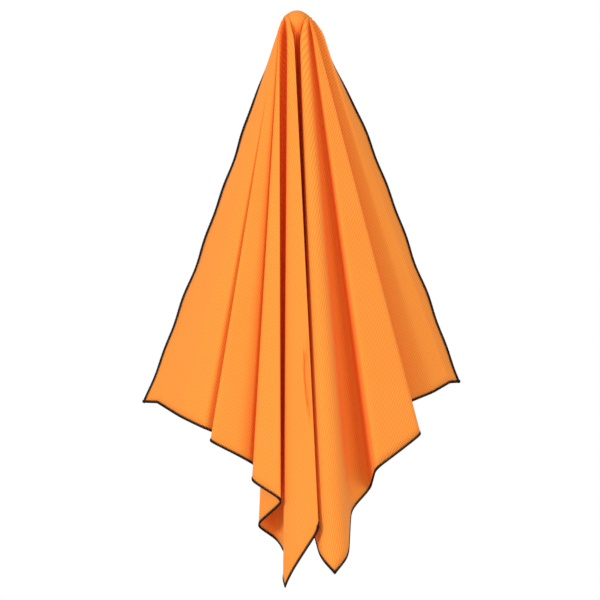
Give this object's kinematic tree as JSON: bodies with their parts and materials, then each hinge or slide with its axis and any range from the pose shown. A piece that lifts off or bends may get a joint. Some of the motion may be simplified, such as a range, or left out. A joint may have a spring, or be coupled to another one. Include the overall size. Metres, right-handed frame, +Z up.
{
  "type": "quick dry towel",
  "caption": "Orange microfibre travel towel with black overlocked edges, hung from one point so that it falls in long pleats.",
  "frame": {"origin": "top of the cloth where it lies over the peg", "axes": "+Z up, -Y the front that faces the room, +Y towards the wall, +X to the right seen from the front"},
  "size_m": [0.4631, 0.1891, 0.8246],
  "materials": {
    "cloth": "fine waffle microfibre, matt with a soft sheen",
    "edging": "overlocked polyester thread, matt black"
  },
  "bodies": {
    "root": {"towel_panel": "cloth", "top_hem": "edging", "bottom_hem": "edging", "left_hem": "edging", "right_hem": "edging"}
  },
  "joints": []
}
